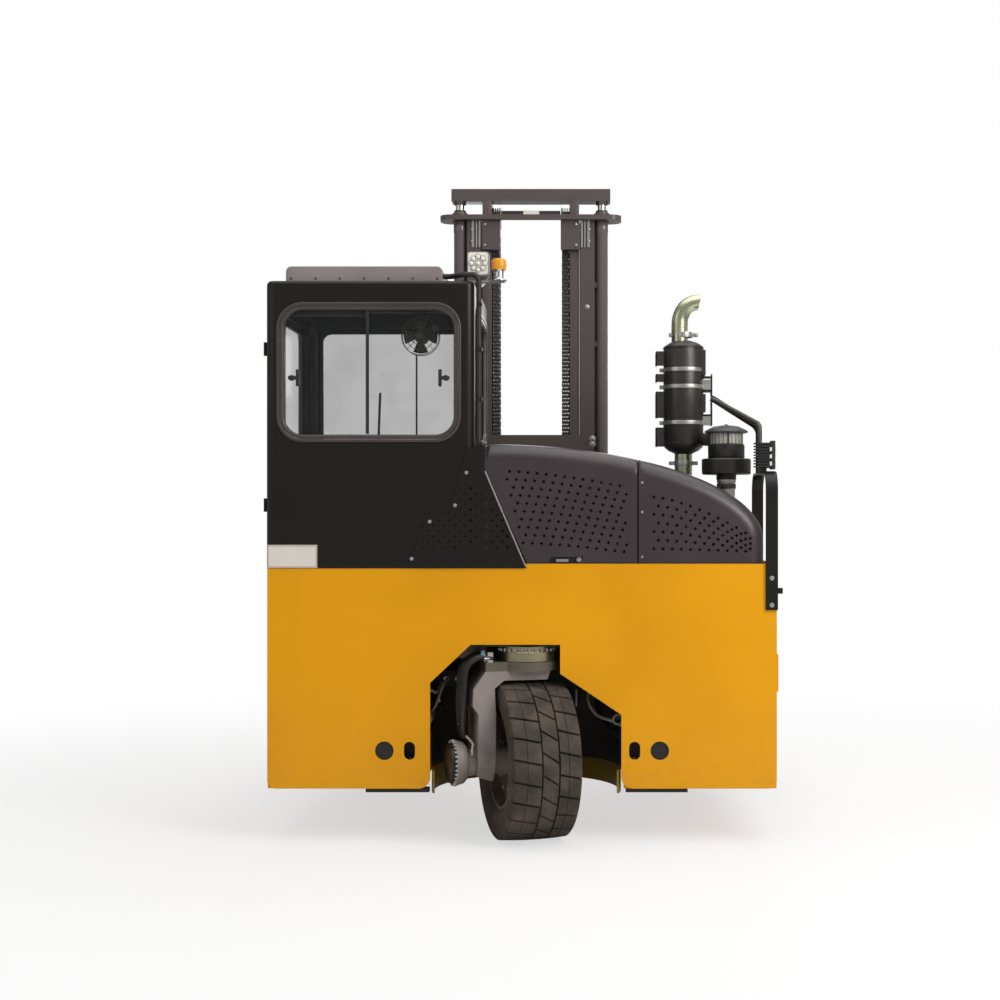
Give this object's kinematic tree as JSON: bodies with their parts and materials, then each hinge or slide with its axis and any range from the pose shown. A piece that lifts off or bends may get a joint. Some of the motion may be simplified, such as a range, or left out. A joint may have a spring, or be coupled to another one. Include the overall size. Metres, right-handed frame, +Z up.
{
  "type": "four-way sideloader",
  "caption": "Three-wheel four-way sideloader: U-shaped chassis with load decks, cab and engine hood behind, reach mast with forks between the decks, steered wheels.",
  "frame": {"origin": "on the floor under the middle of the parked machine's box", "axes": "+Z up, +Y towards the side the forks point to, +X to the right seen from behind"},
  "size_m": [2.3, 2.6746, 3.1],
  "materials": {
    "yellow_paint": "gloss paint on plate steel",
    "cab_paint": "satin black paint",
    "hood_shell": "satin moulded shell",
    "mast_paint": "grey-black paint",
    "cylinder_paint": "grey paint",
    "chrome_rod": "hard chrome",
    "chain_steel": "oiled steel",
    "fork_steel": "worn forged steel",
    "casting_grey": "painted casting",
    "tyre_rubber": "matt rubber",
    "rim_paint": "dark paint",
    "window_glass": "clear",
    "roof_grey": "silver-grey moulding",
    "seat_cover": "woven cover",
    "trim_black": "moulded plastic",
    "lamp_lens": "lens and housing",
    "amber_lens": "amber dome",
    "exhaust_steel": "heat-tinted steel",
    "muffler_black": "heat-proof black",
    "cleaner_grey": "clear-grey bowl",
    "engine_block": "dark casting"
  },
  "bodies": {
    "chassis": {"chassis_rear_panel": "yellow_paint", "chassis_left_side": "yellow_paint", "chassis_right_side": "yellow_paint", "chassis_wheel_well": "yellow_paint", "chassis_wheel_skirt": "yellow_paint", "deck_left": "yellow_paint", "deck_right": "yellow_paint", "cab_rear": "cab_paint", "cab_front": "cab_paint", "cab_right_wall": "cab_paint", "cab_door_frame": "cab_paint", "cab_roof": "cab_paint", "cab_floor": "cab_paint", "hood_side_cover": "cab_paint", "guard": "cab_paint", "hood_right": "hood_shell", "reach_cylinders": "cylinder_paint", "slewing_ring": "casting_grey", "steer_motor": "casting_grey", "cab_glass": "window_glass", "roof_box": "roof_grey", "seat": "seat_cover", "steering_console": "trim_black", "conduit": "trim_black", "side_lamp": "trim_black", "work_lamp": "lamp_lens", "beacon": "amber_lens", "exhaust_pipe": "exhaust_steel", "muffler": "muffler_black", "pre_cleaner": "cleaner_grey", "engine": "engine_block"},
    "rear_steering": {"rear_fork": "casting_grey", "rear_drive_motor": "casting_grey"},
    "rear_wheel": {"rear_tyre": "tyre_rubber", "rear_rim": "rim_paint"},
    "front_left_steering": {"front_knuckle_left": "casting_grey"},
    "front_left_wheel": {"front_tyre_left": "tyre_rubber", "front_rim_left": "rim_paint"},
    "front_right_steering": {"front_knuckle_right": "casting_grey"},
    "front_right_wheel": {"front_tyre_right": "tyre_rubber", "front_rim_right": "rim_paint"},
    "mast": {"mast_outer": "mast_paint", "lift_cylinders": "cylinder_paint", "reach_carriage": "mast_paint", "rear_chains": "chain_steel"},
    "inner_mast": {"mast_inner": "mast_paint", "lift_rods": "chrome_rod", "chain_sheaves": "mast_paint", "front_chains": "chain_steel"},
    "fork_carriage_body": {"fork_carriage": "mast_paint", "forks": "fork_steel"},
    "cab_door_body": {"cab_door": "cab_paint", "door_glass": "window_glass"},
    "hood_lid": {"hood_left": "hood_shell"}
  },
  "joints": [
    {"name": "rear_steer", "type": "hinge", "parent": "chassis", "child": "rear_steering", "pos_m": [0.016, -0.963, 0.8], "axis": [0, 0, 1], "range_deg": [-117, 83]},
    {"name": "rear_spin", "type": "hinge", "parent": "rear_steering", "child": "rear_wheel", "pos_m": [0.016, -0.963, 0.353], "axis": [0.9563, 0.2924, 0], "continuous": true},
    {"name": "front_left_steer", "type": "hinge", "parent": "chassis", "child": "front_left_steering", "pos_m": [-0.795, 0.937, 0.7], "axis": [0, 0, 1], "range_deg": [0, 90]},
    {"name": "front_left_spin", "type": "hinge", "parent": "front_left_steering", "child": "front_left_wheel", "pos_m": [-0.795, 0.937, 0.3], "axis": [1, 0, 0], "continuous": true},
    {"name": "front_right_steer", "type": "hinge", "parent": "chassis", "child": "front_right_steering", "pos_m": [0.795, 0.937, 0.7], "axis": [0, 0, 1], "range_deg": [-90, 0]},
    {"name": "front_right_spin", "type": "hinge", "parent": "front_right_steering", "child": "front_right_wheel", "pos_m": [0.795, 0.937, 0.3], "axis": [1, 0, 0], "continuous": true},
    {"name": "mast_reach", "type": "slide", "parent": "chassis", "child": "mast", "axis": [0, 1, 0], "range_m": [0, 1.05]},
    {"name": "mast_lift", "type": "slide", "parent": "mast", "child": "inner_mast", "axis": [0, 0, 1], "range_m": [0, 1.9]},
    {"name": "carriage_lift", "type": "slide", "parent": "inner_mast", "child": "fork_carriage_body", "axis": [0, 0, 1], "range_m": [0, 1.9], "deforming": ["front_chains"]},
    {"name": "cab_door_hinge", "type": "hinge", "parent": "chassis", "child": "cab_door_body", "pos_m": [-1.142, -1.015, 1.84], "axis": [0, 0, 1], "range_deg": [0, 85]},
    {"name": "hood_hinge", "type": "hinge", "parent": "chassis", "child": "hood_lid", "pos_m": [0.01, -0.173, 1.772], "axis": [-1, 0, 0], "range_deg": [0, 60]}
  ],
  "couplings": [
    {"joint": "carriage_lift", "follows": "mast_lift", "ratio": 1}
  ]
}
